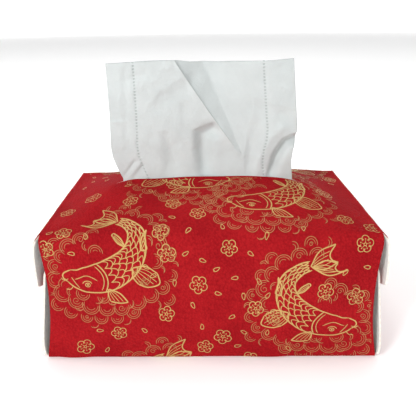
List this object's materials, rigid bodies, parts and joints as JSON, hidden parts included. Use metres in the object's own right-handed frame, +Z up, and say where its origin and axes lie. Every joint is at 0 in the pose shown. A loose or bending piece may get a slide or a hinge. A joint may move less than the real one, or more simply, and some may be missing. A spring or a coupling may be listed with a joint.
{
  "type": "tissue box cover",
  "caption": "Soft red leather cover with a slotted, domed top and snap-closed end flaps, round a soft pack of tissues with one tissue standing up out of the slot.",
  "frame": {"origin": "middle of the base, on the surface the cover stands on", "axes": "+X along the cover's length, +Z up; the front of the cover faces -Y"},
  "size_m": [0.2316, 0.1398, 0.1958],
  "materials": {
    "red_leather": "satin",
    "gold_print": "satin",
    "pale_backing": "matte",
    "seam_tape": "matte",
    "snap_metal": "satin",
    "clear_film": "gloss",
    "folded_tissues": "matte",
    "tissue_paper": "matte"
  },
  "bodies": {
    "cover": {"wrap_skin": "red_leather", "wrap_backing": "pale_backing", "lap_seam_tape": "seam_tape", "pack_film": "clear_film", "tissue_stack": "folded_tissues"},
    "left_upper_flap": {"left_upper_flap_skin": "red_leather", "left_upper_flap_backing": "pale_backing", "left_snap_cap": "snap_metal", "left_snap_socket": "snap_metal"},
    "left_lower_flap": {"left_lower_flap_skin": "red_leather", "left_lower_flap_backing": "pale_backing", "left_snap_stud": "snap_metal", "left_snap_post": "snap_metal"},
    "right_upper_flap": {"right_upper_flap_skin": "red_leather", "right_upper_flap_backing": "pale_backing", "right_snap_cap": "snap_metal", "right_snap_socket": "snap_metal"},
    "right_lower_flap": {"right_lower_flap_skin": "red_leather", "right_lower_flap_backing": "pale_backing", "right_snap_stud": "snap_metal", "right_snap_post": "snap_metal"},
    "standing_tissue": {"tissue_front_ply": "tissue_paper", "tissue_back_ply": "tissue_paper"},
    "next_tissue": {"next_tissue": "tissue_paper"}
  },
  "joints": [
    {"name": "left_upper_flap_fold", "type": "hinge", "parent": "cover", "child": "left_upper_flap", "pos_m": [-0.11, 0, 0.088], "axis": [0, 1, 0], "range_deg": [0, 170]},
    {"name": "left_lower_flap_fold", "type": "hinge", "parent": "cover", "child": "left_lower_flap", "pos_m": [-0.11, 0, 0], "axis": [0, -1, 0], "range_deg": [0, 68]},
    {"name": "right_upper_flap_fold", "type": "hinge", "parent": "cover", "child": "right_upper_flap", "pos_m": [0.11, 0, 0.088], "axis": [0, -1, 0], "range_deg": [0, 170]},
    {"name": "right_lower_flap_fold", "type": "hinge", "parent": "cover", "child": "right_lower_flap", "pos_m": [0.11, 0, 0], "axis": [0, 1, 0], "range_deg": [0, 68]},
    {"name": "standing_tissue_pull", "type": "slide", "parent": "cover", "child": "standing_tissue", "axis": [0, 0, 1], "range_m": [0, 0.024]},
    {"name": "next_tissue_pull", "type": "slide", "parent": "cover", "child": "next_tissue", "axis": [0, 0, 1], "range_m": [0, 0.0192]}
  ],
  "couplings": [
    {"joint": "left_lower_flap_fold", "follows": "left_upper_flap_fold", "ratio": 0.4},
    {"joint": "right_lower_flap_fold", "follows": "right_upper_flap_fold", "ratio": 0.4},
    {"joint": "next_tissue_pull", "follows": "standing_tissue_pull", "ratio": 0.8}
  ]
}
